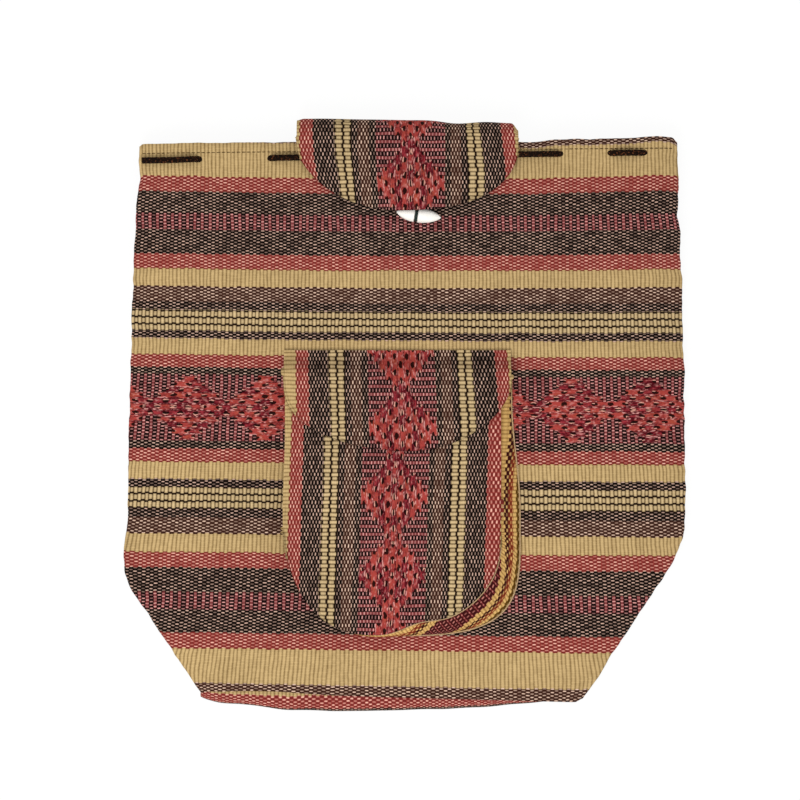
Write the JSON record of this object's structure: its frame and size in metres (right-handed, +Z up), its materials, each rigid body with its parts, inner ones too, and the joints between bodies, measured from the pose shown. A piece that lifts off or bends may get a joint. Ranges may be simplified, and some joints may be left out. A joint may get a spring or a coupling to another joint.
{
  "type": "woven backpack",
  "caption": "Soft woven drawstring backpack lying on its back, with a striped body, a folded top flap with a toggle, and a gusseted front pocket with its own flap.",
  "frame": {"origin": "on the floor, under the middle of the bag's outline", "axes": "+X to the right as the front is seen, +Y towards the mouth, +Z up from the back to the front"},
  "size_m": [0.4, 0.4236, 0.0399],
  "materials": {
    "body_cloth": "thick striped hand weave",
    "bottom_cloth": "thick striped hand weave",
    "flap_cloth": "thick striped hand weave with diamonds",
    "gusset_cloth": "thick striped hand weave",
    "strap_cloth": "folded woven cloth",
    "cord": "dark braided cord",
    "thread": "dark twisted thread",
    "toggle": "smooth white spindle"
  },
  "bodies": {
    "bag": {"front_panel": "body_cloth", "back_panel": "body_cloth", "bottom_panel": "bottom_cloth", "top_flap": "flap_cloth", "pocket_front": "flap_cloth", "pocket_flap": "flap_cloth", "pocket_gusset": "gusset_cloth", "strap_left": "strap_cloth", "strap_right": "strap_cloth", "drawstring": "cord", "drawstring_knot": "cord", "flap_loop": "thread", "toggle_shank": "thread"},
    "toggle": {"toggle": "toggle", "toggle_band": "thread"}
  },
  "joints": [
    {"name": "toggle_swivel", "type": "hinge", "parent": "bag", "child": "toggle", "pos_m": [0.00699, 0.14077, 0.0306], "axis": [0, 0, 1], "range_deg": [-90, 90]}
  ]
}
